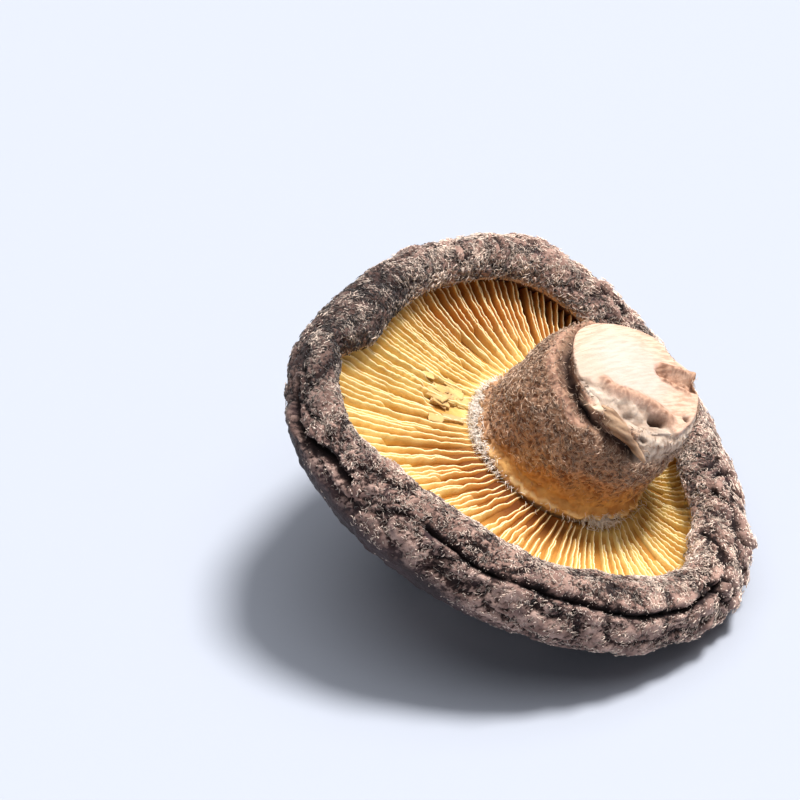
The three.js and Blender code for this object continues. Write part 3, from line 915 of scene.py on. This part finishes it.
# %% The hanging strip
STRIP_ROOT = Vector((4.3, -2.2, 8.3))
STRIP_TIP = Vector((10.4, -3.2, 6.6))
STRIP_RADIUS = 0.74
STRIP_TIP_RADIUS = 0.12
STRIP_SIDES = 28
STRIP_RINGS = 30
STRIP_BOW = (0.1, -0.5, 0.5)
strip_way = STRIP_TIP - STRIP_ROOT
strip = start_piece(
    "stem_strip", bpy.ops.mesh.primitive_cone_add,
    vertices=STRIP_SIDES, radius1=STRIP_RADIUS, radius2=STRIP_TIP_RADIUS, depth=strip_way.length,
    location=(STRIP_ROOT + STRIP_TIP) / 2, rotation=strip_way.to_track_quat("Z", "Y").to_euler(),
)
bpy.ops.object.transform_apply(location=True, rotation=True, scale=True)
mode("EDIT")
for cut in range(1, STRIP_RINGS):
    bpy.ops.mesh.select_all(action="SELECT")
    bpy.ops.mesh.bisect(plane_co=STRIP_ROOT + strip_way * cut / STRIP_RINGS, plane_no=strip_way)
mode("OBJECT")
strip_places = places_of(strip)
strip_share = ((strip_places - np.array(STRIP_ROOT)) @ np.array(strip_way)) / strip_way.length_squared
bow = np.sin(math.pi * np.clip(strip_share, 0, 1))
rough = 0.15 * bumps(strip_places, (2.0, 0.45, 0.45), seed=14, octaves=2)
on_line = np.array(STRIP_ROOT) + strip_share[:, None] * np.array(strip_way)
swell = (0.3 + 0.7 * smoothstep(strip_share, -0.02, 0.16)) * (1 + 0.4 * bow)
strip_places = on_line + swell[:, None] * (strip_places - on_line) + bow[:, None] * np.array(STRIP_BOW)
move_to(strip, strip_places + rough[:, None] * normals_of(strip))
# On the strip, raised paints rough high places lighter and low ones darker: painted highlight and shade
write_marks(strip, raised=np.clip(0.5 + 5 * rough, 0, 1), strip=1)
join("mushroom_stem", stem, [strip])
lay_down(stem)

# %% [markdown]
# ## Felt
# The rim and the stem are covered with short curled fibres that lie matted on the surface and catch the
# light. Hair curves would be the usual way, but they are lost when a model is exported, so the felt is
# mesh: one thread is modelled, three-sided with pointed ends, and thousands of copies are bent over the
# surface. Each has its own length, curl and shade.

# %% Model one thread
thread = start_piece("felt_thread", add_circle, vertices=3, radius=1, location=(0, 0, 1 / 3))
bpy.ops.object.transform_apply(location=True, rotation=True, scale=True)
mode("EDIT")
bpy.ops.mesh.select_all(action="SELECT")
for step in range(2):
    bpy.ops.mesh.extrude_region_move(TRANSFORM_OT_translate={"value": (0, 0, 1 / 3)})
bpy.ops.mesh.merge(type="CENTER")
mode("OBJECT")
for vertex in thread.data.vertices:
    vertex.select = vertex.co.z < 0.5
mode("EDIT")
bpy.ops.mesh.extrude_region_move(TRANSFORM_OT_translate={"value": (0, 0, -1 / 3)})
bpy.ops.mesh.merge(type="CENTER")
bpy.ops.mesh.select_all(action="SELECT")
bpy.ops.mesh.quads_convert_to_tris()
bpy.ops.mesh.normals_make_consistent(inside=False)
mode("OBJECT")
thread_shape = places_of(thread)
thread_faces = np.array([face.vertices[:] for face in thread.data.polygons])
bpy.data.objects.remove(thread)
print("one thread:", len(thread_faces), "triangles")


# %% Lay copies of it on a surface
def unit(vectors):
    return vectors / np.maximum(np.linalg.norm(vectors, axis=1), 1e-9)[:, None]


def lay_threads(name, roots, outs, alongs, rng, length, width, curl, lift, sink, shade, shorter=1, flatter=1):
    """One mesh of threads that arch over the surface. A pair is the range that a measure is drawn from."""
    count = len(roots)
    length = rng.uniform(*length, count) * shorter
    width = rng.uniform(*width, count)
    curl = rng.normal(0, curl, count)
    lift = rng.uniform(*lift, count) * flatter
    if isinstance(shade, tuple):
        shade = rng.uniform(*shade, count)
    across = unit(np.cross(outs, alongs))
    reach = thread_shape[:, 2]
    arch = np.sin(math.pi * reach)
    hook = np.sin(math.pi * reach * rng.uniform(0.7, 1.9, (count, 1)) + rng.uniform(-0.5, 0.5, (count, 1)))
    size = length[:, None]
    forward = reach * size
    aside = curl[:, None] * size * hook
    upward = lift[:, None] * size * arch - sink
    spine = (
        roots[:, None, :]
        + forward[..., None] * alongs[:, None, :]
        + aside[..., None] * across[:, None, :]
        + upward[..., None] * outs[:, None, :]
    )
    thick = width[:, None, None] * (
        thread_shape[None, :, :1] * across[:, None, :] + thread_shape[None, :, 1:2] * outs[:, None, :]
    )
    places = (spine + thick).reshape(-1, 3)
    faces = (thread_faces[None] + (np.arange(count) * len(thread_shape))[:, None, None]).reshape(-1, 3)
    mesh = bpy.data.meshes.new(name)
    mesh.from_pydata(places.tolist(), [], faces.tolist())
    piece = bpy.data.objects.new(name, mesh)
    bpy.context.collection.objects.link(piece)
    write_marks(piece, shade=np.repeat(shade, len(thread_shape)))
    print(name, "threads:", count)
    return piece


ROOT_SCATTER = 0.08  # how far from its vertex a thread starts


def draw_roots(places, normals, chance, count, rng):
    """Picks places, some more likely than others, and moves each a little off its vertex."""
    picked = rng.choice(len(places), size=count, p=chance / chance.sum())
    outs = normals[picked]
    sideways = rng.normal(0, 1, (count, 3))
    sideways = unit(sideways - (sideways * outs).sum(axis=1)[:, None] * outs)
    return picked, places[picked] + ROOT_SCATTER * sideways, outs, sideways


# %% Felt on the rim
RIM_THREADS = 15500  # in each of two pieces
CLEAR_OF_FLOOR = 0.5  # no felt grows lower than this
rng = np.random.default_rng(11)
high_enough = height_above_floor(cap_places) > CLEAR_OF_FLOOR
felt_chance = (felted * smoothstep(cap_share, 0.25, 0.272) + 0.015 * skin * (cap_share < 0.72)) * high_enough
felt_chance *= (1 - smoothstep(crease_at, 0.02, 0.5)) * (1 - 0.85 * in_folds)
felt_chance *= 1 - 0.7 * pleated * (1 - smoothstep(pleats, 0.2, 0.5))
felt_chance *= lerp(1, 0.55, smoothstep(cap_share, 0.42, 0.55))
short_side = facing(cap_angle, 275, 0.1, 0.8)  # the felt is shorter here
grain = bumps3(cap_places, 2.5, (15, 16, 17))
blotches = bumps(cap_places, 1.5, seed=18, octaves=2)
tufts = bumps(cap_places, 0.6, seed=19)
felt_chance *= np.clip(1 + 1.1 * blotches + 0.9 * tufts, 0.2, 2.4)
far_rim = facing(cap_angle, 75, 0.1, 0.8)  # painted light on its outer half, painted shade on its inner half
far_rim_light = far_rim * lerp(-0.16, 0.3, smoothstep(cap_share, 0.36, 0.46))
felt_pieces = []
for name in ("rim_felt_under", "rim_felt_over"):
    picked, roots, outs, sideways = draw_roots(cap_places, smooth_normals, felt_chance, RIM_THREADS, rng)
    lie = grain[picked] - (grain[picked] * outs).sum(axis=1)[:, None] * outs
    alongs = unit(sideways + 0.9 * lie)
    # Thread shade is partly painted light: lighter on raised felt and darker in its hollows, lighter on the
    # high side, darker on the shaded side; blotches and tufts are the felt's own tone
    raised = np.clip(0.5 + 1.5 * cap_relief[picked], 0, 1)
    shade = 0.16 + 0.6 * raised + 0.6 * blotches[picked] + 0.55 * tufts[picked]
    shade += 0.28 * high_side[picked] - 0.5 * shaded[picked] + far_rim_light[picked]
    shade = np.clip(shade + rng.normal(0, 0.3, RIM_THREADS) * (1 - 0.5 * short_side[picked]), 0, 1)
    piece = lay_threads(
        name, roots, outs, alongs, rng,
        length=(0.3, 0.75), width=(0.034, 0.06), curl=0.45, lift=(0.0, 0.15), sink=0.02, shade=shade,
        shorter=(1 - 0.6 * beside_crease[picked]) * (1 - 0.3 * short_side[picked]),
        flatter=lerp(1, 0.3, smoothstep(cap_share[picked], 0.4, 0.5)),
    )
    lay_down(piece)
    felt_pieces.append(piece)

# %% Felt on the stem
STEM_THREADS = 8500
stem_chance = (1 - on_cut) * (1 - 0.85 * torn_side) * (1 - 0.8 * bare_band) * (level > -2)
stem_chance *= (1 - 0.75 * warm) * (1 - 0.9 * flesh)
stem_chance *= (1 - 0.8 * score["groove"]) * (1 - 0.9 * score["flap_gap"])
picked, roots, outs, sideways = draw_roots(stem_places, stem_normals, stem_chance, STEM_THREADS, rng)
# Stem threads over raised felt are painted lighter: painted highlight
shade = np.clip(0.5 + 0.35 * side_felt[picked] + rng.normal(0, 0.25, STEM_THREADS), 0, 1)
stem_felt = lay_threads(
    "stem_felt", roots, outs, unit(sideways + np.array([0, 0, 0.5])), rng,
    length=(0.3, 0.65), width=(0.03, 0.055), curl=0.45, lift=(0.0, 0.25), sink=0.03, shade=shade,
)
write_marks(stem_felt, warm=np.repeat(warm[picked], len(thread_shape)))
lay_down(stem_felt)

# %% [markdown]
# Round the stem's foot the felt turns into a pale cotton that reaches out over the ends of the gills. It is
# thick on two sides and almost missing everywhere else.

# %% Cotton round the foot
COTTON_THREADS = 1700
COTTON_SIDES = [(203, 30, 1.0), (320, 11, 0.8)]  # degrees round, half width in degrees, and how thick
around = np.linspace(0, TURN, 720, endpoint=False)
cotton_chance = np.full(len(around), 0.03)
for degrees, width, amount in COTTON_SIDES:
    cotton_chance += amount * hump(degrees_from(around, degrees), width)
turns = rng.choice(around, size=COTTON_THREADS, p=cotton_chance / cotton_chance.sum())
turns = turns + rng.uniform(0, TURN / len(around), COTTON_THREADS)
outward = from_xyz(np.cos(turns), np.sin(turns), rng.uniform(-0.3, 0.3, COTTON_THREADS))
start = rng.uniform(8.2, 9.0, COTTON_THREADS)
height = -2.6 + rng.normal(0, 0.16, COTTON_THREADS) + 0.8 * (8.7 - start)
roots = from_xyz(*on_circle(COLLAR, start, turns), height)
stray = rng.normal(0, 0.4, (COTTON_THREADS, 3))
alongs = unit(unit(outward) + stray)
outs = unit(np.cross(alongs, rng.normal(0, 1, (COTTON_THREADS, 3))))
cotton = lay_threads(
    "foot_cotton", roots, outs, alongs, rng,
    length=(0.3, 1.0), width=(0.022, 0.042), curl=0.4, lift=(0.0, 0.2), sink=0.0, shade=(0.3, 1),
)
lay_down(cotton)

# %% [markdown]
# ## Finishes
# All the finishes are made of nodes, and mix a few paints by the marks that the shaping left: how raised a
# place is, how near a blade's edge, how far it is torn. Node maths is written as Python sums. A small
# class wraps a socket so that `1 - mask` or `mask * 0.3` adds the Math nodes it needs. Paints are written
# as the 0 to 255 values of a screen, and laid over each other in coats, each with its own mask.


# %% Paints, and sockets that can be added and multiplied
def paint(red, green, blue):
    """A paint from the 0 to 255 values that a screen shows, as the linear colour a shader takes."""
    shown = np.array([red, green, blue]) / 255
    linear = np.where(shown > 0.04045, ((shown + 0.055) / 1.055) ** 2.4, shown / 12.92)
    return (*linear.tolist(), 1)


class Value:
    """A socket of a finish that Python's own operators work on."""

    def __init__(self, finish, socket):
        self.finish = finish
        self.socket = socket

    def maths(self, operation, *values):
        return self.finish.node("ShaderNodeMath", {"operation": operation}, dict(enumerate(values)))

    def __add__(self, other):
        return self.maths("ADD", self, other)

    def __sub__(self, other):
        return self.maths("SUBTRACT", self, other)

    def __rsub__(self, other):
        return self.maths("SUBTRACT", other, self)

    def __mul__(self, other):
        return self.maths("MULTIPLY", self, other)

    __radd__ = __add__
    __rmul__ = __mul__

    def between(self, low, high):
        """0 below low, 1 above high and smooth between."""
        settings = {"interpolation_type": "SMOOTHSTEP"}
        return self.finish.node("ShaderNodeMapRange", settings, {0: self, 1: low, 2: high})


class Finish:
    """A material, and the one method that adds any node to it."""

    def __init__(self, name):
        self.material = bpy.data.materials.new(name)
        self.material.use_nodes = True
        self.tree = self.material.node_tree
        self.tree.nodes.clear()
        self.place = self.node("ShaderNodeTexCoord", output="Object")

    def node(self, kind, settings=None, sockets=None, output=0):
        made = self.tree.nodes.new(kind)
        for key, value in (settings or {}).items():
            setattr(made, key, value)
        for key, value in (sockets or {}).items():
            if isinstance(value, Value):
                self.tree.links.new(value.socket, made.inputs[key])
            else:
                made.inputs[key].default_value = value
        return Value(self, made.outputs[output])

    def mark(self, name):
        return self.node("ShaderNodeAttribute", {"attribute_name": name}, output="Fac")

    def noise(self, size, detail=2, rough=0.5, stretch=(1, 1, 1), turn=0):
        """Noise from 0 to 1 with patches of the given size in millimetres, stretched and turned round Z."""
        sockets = {
            "Vector": self.place,
            "Scale": [size * MM * long for long in stretch],
            "Rotation": (0, 0, math.radians(turn)),
        }
        at = self.node("ShaderNodeMapping", {"vector_type": "TEXTURE"}, sockets, output="Vector")
        sockets = {"Vector": at, "Scale": 1, "Detail": detail, "Roughness": rough}
        return self.node("ShaderNodeTexNoise", sockets=sockets, output=0)

    def mix(self, share, one, other):
        """From one colour to another. Either may be a paint."""
        one, other = (paint(*colour) if isinstance(colour, tuple) else colour for colour in (one, other))
        return self.node("ShaderNodeMix", {"data_type": "RGBA"}, {0: share, 6: one, 7: other}, output=2)

    def coats(self, colour, *coats):
        """Coats over a colour in turn, each a mask and a colour."""
        for mask, coat in coats:
            colour = self.mix(mask, colour, coat)
        return colour

    def bump(self, height, strength, distance):
        sockets = {"Height": height, "Strength": strength, "Distance": distance * MM}
        return self.node("ShaderNodeBump", sockets=sockets)

    def surface(self, **sockets):
        named = {key.replace("_", " "): value for key, value in sockets.items()}
        shader = self.node("ShaderNodeBsdfPrincipled", sockets=named)
        out = self.tree.nodes.new("ShaderNodeOutputMaterial")
        self.tree.links.new(shader.socket, out.inputs["Surface"])
        return self.material


def give(piece, material):
    piece.data.materials.clear()
    piece.data.materials.append(material)


# %% The cap's finish
finish = Finish("cap_felt_and_skin")
mark = finish.mark
mottle = finish.noise(1.6, 3)
speckle = finish.noise(0.28, 3, 0.7)
# Raised felt is painted lighter and low felt darker: painted highlight and shade
felt_share = (mark("raised") * 0.9 + speckle * 1.3 - 0.6).between(0.14, 0.72)
dark_felt = finish.mix(mottle.between(0.35, 0.7), (32, 21, 20), (58, 38, 35))
light_felt = finish.mix(mottle.between(0.3, 0.75), (130, 100, 90), (186, 152, 138))
outer_felt = finish.mix(mottle.between(0.3, 0.7), (128, 101, 93), (186, 158, 147))
felt_colour = finish.coats(
    finish.mix(felt_share, dark_felt, light_felt),
    (mark("outer") * felt_share * 0.7, outer_felt),
    (finish.noise(2.8, 3, 0.55).between(0.52, 0.68) * 0.55, (66, 50, 54)),
    (mark("shaded") * 0.7, (50, 35, 34)),
    # painted shade in the creases and fold hollows
    (mark("crease") * 0.9, (30, 21, 22)),
    (mark("lip") * 0.8, (206, 172, 144)),
)
split = mark("split")
skin_colour = finish.coats(
    finish.mix(finish.noise(4.5, 4, 0.6).between(0.35, 0.65), (34, 24, 26), (80, 57, 58)),
    (speckle.between(0.5, 0.75) * 0.35, (128, 101, 97)),
    (mark("flank") * 0.7, (38, 25, 27)),
    (split.between(0.05, 0.35) * 0.6, (34, 24, 26)),
    ((split + speckle * 0.2).between(0.5, 0.68), (206, 184, 172)),
)
give(cap, finish.surface(
    Base_Color=finish.coats(felt_colour, (mark("skin"), skin_colour), (mark("inside"), (150, 106, 70))),
    Roughness=0.93 - 0.28 * mark("skin"),
    Normal=finish.bump(speckle, 0.5, 0.25),
    Specular_IOR_Level=0.25,
    Sheen_Weight=0.05,
    Sheen_Roughness=0.5,
))

# %% The gills' finish
finish = Finish("gill_flesh")
rise = finish.mark("rise")
browned = finish.mark("browned")
streaks = finish.noise(1.4, 3, 0.55)
fine_streaks = finish.noise(0.3, 3, 0.6)
# browned darkens the roots and the faces: painted shade
deep = finish.coats(finish.mix(streaks, (160, 106, 44), (196, 142, 66)), (browned, (104, 52, 12)))
face = finish.mix(streaks.between(0.3, 0.7), (216, 175, 98), (234, 203, 132))
face = finish.coats(face, (browned * 0.85, (176, 104, 28)))
gill_colour = finish.coats(
    deep,
    ((rise - browned * 0.3).between(0.0, 0.5), face),
    (finish.mark("worn") * 0.9, (196, 156, 112)),
    ((rise + fine_streaks * 0.08).between(0.98, 1.06), (253, 234, 186)),
    (finish.noise(0.55, 1).between(0.8, 0.84) * 0.6, (110, 66, 34)),
)
give(gills, finish.surface(
    Base_Color=gill_colour,
    Roughness=0.62 + 0.2 * fine_streaks,
    Normal=finish.bump(fine_streaks, 0.35, 0.12),
    Specular_IOR_Level=0.15,
    Subsurface_Weight=0.1,
    Subsurface_Radius=(0.0009, 0.0005, 0.0002),
    Subsurface_Scale=1.0,
))

# %% The stem's finish
finish = Finish("stem_felt_and_flesh")
mark = finish.mark
# raised paints the high parts of the felt, the torn flesh, the fold and the strip lighter and their low parts
# darker: painted highlight and shade
raised = mark("raised")
mottle = finish.noise(1.8, 3)
speckle = finish.noise(0.25, 3, 0.7)
scratches = finish.noise(0.4, 4, 0.6, stretch=(6, 0.6, 2), turn=60)
felt_share = (raised * 0.7 + speckle * 0.8 - 0.3).between(0.15, 0.8)
cut_colour = finish.coats(
    finish.mix(scratches.between(0.3, 0.7), (206, 172, 156), (218, 188, 176)),
    # the cut darker towards its rim and bright in the middle: painted highlight
    (mark("edge"), finish.mix(scratches.between(0.36, 0.6), (196, 153, 128), (222, 187, 162))),
    (mark("grey") * 0.7, (196, 176, 158)),
)
stem_colour = finish.coats(
    finish.mix(felt_share, (104, 68, 48), (190, 150, 122)),
    (mark("warm"), finish.mix(felt_share, (160, 100, 42), (208, 150, 74))),
    (mark("flesh") * 0.9, finish.mix(mottle.between(0.3, 0.7), (178, 120, 60), (216, 166, 96))),
    (mark("bare") * 0.6, (196, 152, 130)),
    (mark("foot"), (244, 212, 158)),
    (mark("torn"), finish.mix(raised, (154, 124, 104), (228, 210, 192))),
    (mark("cut"), cut_colour),
    (mark("brown"), finish.mix(raised, (132, 90, 66), (214, 172, 146))),
    (mark("chip"), (226, 198, 170)),
    (mark("strip"), finish.mix(raised, (104, 76, 56), (190, 156, 126))),
    # painted shade in the groove, the gap under the strip, the hole and the pits
    (mark("deep") * 0.92, (48, 28, 22)),
    (finish.noise(0.6, 1).between(0.78, 0.83) * 0.7, (60, 34, 22)),
)
give(stem, finish.surface(
    Base_Color=stem_colour,
    Roughness=0.9 - 0.2 * mark("cut"),
    Normal=finish.bump(speckle, 0.45, 0.2),
    Subsurface_Weight=0.12,
    Subsurface_Radius=(0.0008, 0.0005, 0.0003),
    Subsurface_Scale=1.0,
))


# %% The threads' finishes
def thread_finish(name, dark, light, gold=None):
    """Threads from dark to light, and where they are marked warm, from one gold to another."""
    finish = Finish(name)
    shade = finish.mark("shade")
    colour = finish.mix(shade, dark, light)
    if gold:
        colour = finish.mix(finish.mark("warm"), colour, finish.mix(shade, *gold))
    return finish.surface(Base_Color=colour, Roughness=0.85 + 0.1 * shade, Sheen_Weight=0.2)


rim_finish = thread_finish("rim_thread", (36, 24, 24), (255, 230, 212))
for piece in felt_pieces:
    give(piece, rim_finish)
golds = ((156, 98, 44), (230, 174, 100))
give(stem_felt, thread_finish("stem_thread", (84, 56, 40), (226, 192, 164), golds))
give(cotton, thread_finish("cotton_thread", (240, 220, 202), (255, 248, 240)))

# %% [markdown]
# ## Frame, floor, light and camera
# Each piece rides on the mushroom's one body, and the imported solids are hidden. One soft lamp stands high
# up, to the right and a little behind, so that the rim's folds and the cut face read and the shadow falls
# to the left and towards the camera. A wide lamp overhead and a faint sky, pale near the horizon, fill the
# shadows.

# %% Tie the pieces to the imported model
for piece in (cap, gills, stem, *felt_pieces, stem_felt, cotton):
    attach(piece, "root")
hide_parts("cap")
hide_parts("gills")
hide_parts("stem")

# %% Floor
add_plane = bpy.ops.mesh.primitive_plane_add
floor = start_piece("floor", add_plane, size=6, location=(0, 0, 0))
finish = Finish("pale_floor")
give(floor, finish.surface(Base_Color=(0.39, 0.415, 0.48, 1), Roughness=0.7))

# %% Camera
AZIMUTH = math.radians(21.1)
ELEVATION = math.radians(35)
DISTANCE = 350  # mm from the middle of the opening
FIELD = 73.4  # mm across the picture at that distance
OFF_CENTRE = (11.74, -2.29)  # how far the middle of the opening is right of and above the picture's middle
right = Vector((math.cos(AZIMUTH), math.sin(AZIMUTH), 0))
back = Vector((
    math.sin(AZIMUTH) * math.cos(ELEVATION),
    -math.cos(AZIMUTH) * math.cos(ELEVATION),
    math.sin(ELEVATION),
))
up = back.cross(right)
eye = RIM_CENTRE + back * DISTANCE - right * OFF_CENTRE[0] - up * OFF_CENTRE[1]
lens = bpy.data.cameras.new("camera")
lens.sensor_width = 36
lens.lens = lens.sensor_width * DISTANCE / FIELD
lens.clip_start = 0.01
lens.clip_end = 20
camera = bpy.data.objects.new("camera", lens)
camera.matrix_world = Matrix.Translation(eye * MM) @ Matrix((right, up, back)).transposed().to_4x4()
bpy.context.collection.objects.link(camera)
bpy.context.scene.camera = camera


# %% Lights
def soft_lamp(name, direction, spread, power, colour):
    """A far lamp whose light comes from one direction, softened over a wide angle in degrees."""
    lamp = bpy.data.lights.new(name, "SUN")
    lamp.angle = math.radians(spread)
    lamp.energy = power
    lamp.color = colour
    holder = bpy.data.objects.new(name, lamp)
    holder.rotation_mode = "QUATERNION"
    holder.rotation_quaternion = direction.to_track_quat("Z", "Y")
    bpy.context.collection.objects.link(holder)


away = Vector((-math.sin(AZIMUTH), math.cos(AZIMUTH), 0))
above = Vector((0, 0, 1))
soft_lamp("key", 0.22 * right + 0.12 * away + 0.75 * above, 15, 4.9, (1.0, 0.985, 0.96))
soft_lamp("overhead", above, 64, 1.6, (0.97, 0.985, 1.0))

sky = bpy.data.worlds.new("sky")
sky.use_nodes = True
sky_nodes = sky.node_tree.nodes
sky_links = sky.node_tree.links
direction = sky_nodes.new("ShaderNodeTexCoord")
parts = sky_nodes.new("ShaderNodeSeparateXYZ")
strength = sky_nodes.new("ShaderNodeMapRange")
strength.inputs["From Min"].default_value = 0.12  # below this height the sky is a pale backdrop
strength.inputs["From Max"].default_value = 0.3
strength.inputs["To Min"].default_value = 0.98
strength.inputs["To Max"].default_value = 0.14
sky_links.new(direction.outputs["Generated"], parts.inputs[0])
sky_links.new(parts.outputs["Z"], strength.inputs["Value"])
sky_links.new(strength.outputs["Result"], sky_nodes["Background"].inputs["Strength"])
sky_nodes["Background"].inputs["Color"].default_value = (0.90, 0.935, 1.0, 1)
bpy.context.scene.world = sky
bpy.context.scene.view_settings.view_transform = "Standard"
